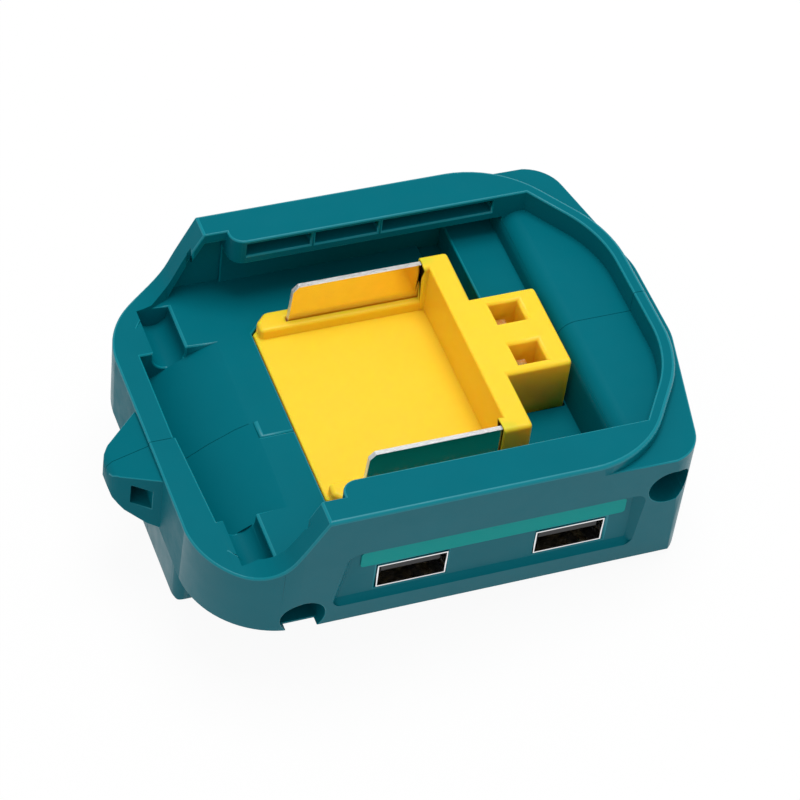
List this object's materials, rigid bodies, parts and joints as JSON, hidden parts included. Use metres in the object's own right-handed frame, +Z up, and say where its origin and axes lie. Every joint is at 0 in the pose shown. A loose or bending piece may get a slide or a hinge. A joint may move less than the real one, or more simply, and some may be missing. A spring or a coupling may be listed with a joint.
{
  "type": "tool battery adapter",
  "caption": "Slide-on adapter for a tool battery pack, with rail channels, a blade terminal block, charging ports, a barrel outlet, a lamp and a push button.",
  "frame": {"origin": "middle of the overall box in plan, on the flat underside of the lamp bar, which is the lowest face", "axes": "+Z is up through the battery side, square to the deck; +X runs from the entry end with the strap lug to the closed nose; -Y is the side with the charging ports"},
  "size_m": [0.1028, 0.076, 0.041],
  "materials": {
    "housing": "fine grain moulded plastic",
    "terminal_plastic": "smooth moulded plastic",
    "blade_metal": "nickel plated sheet",
    "contact_metal": "plated spring sheet",
    "circuit_board": "lacquered laminate",
    "port_metal": "nickel plated sheet",
    "port_plastic": "moulded insulator",
    "black_plastic": "moulded plastic",
    "label": "blank printed film",
    "lens": "frosted clear plastic",
    "white_plastic": "white moulded plastic",
    "lamp_board": "white lacquered laminate",
    "light_chip": "phosphor gel",
    "wire": "insulated wire",
    "plunger": "moulded plastic",
    "screw_steel": "zinc plated steel",
    "ferrite": "sintered ferrite",
    "capacitor": "sleeved can",
    "fuse": "ceramic body"
  },
  "bodies": {
    "adapter": {"front_shell": "housing", "rear_shell": "housing", "terminal_block": "terminal_plastic", "positive_blade": "blade_metal", "negative_blade": "blade_metal", "signal_contacts": "contact_metal", "main_board": "circuit_board", "usb_left_shell": "port_metal", "usb_left_core": "port_plastic", "usb_left_contacts": "contact_metal", "usb_right_shell": "port_metal", "usb_right_core": "port_plastic", "usb_right_contacts": "contact_metal", "dc_jack_body": "black_plastic", "dc_jack_pin": "port_metal", "dc_jack_spring": "contact_metal", "label_strip": "label", "lamp_lens": "lens", "lamp_reflector": "white_plastic", "lamp_board": "lamp_board", "lamp_leds": "light_chip", "lamp_wires": "wire", "switch_body": "black_plastic", "case_screws": "screw_steel", "board_screws": "screw_steel", "inductors": "ferrite", "capacitors": "capacitor", "regulator_chips": "black_plastic", "fuse": "fuse"},
    "button": {"power_button": "black_plastic", "switch_plunger": "plunger"}
  },
  "joints": [
    {"name": "button_press", "type": "slide", "parent": "adapter", "child": "button", "axis": [0, 0, 1], "range_m": [0, 0.0006], "stiffness_N_per_m": 1500}
  ]
}
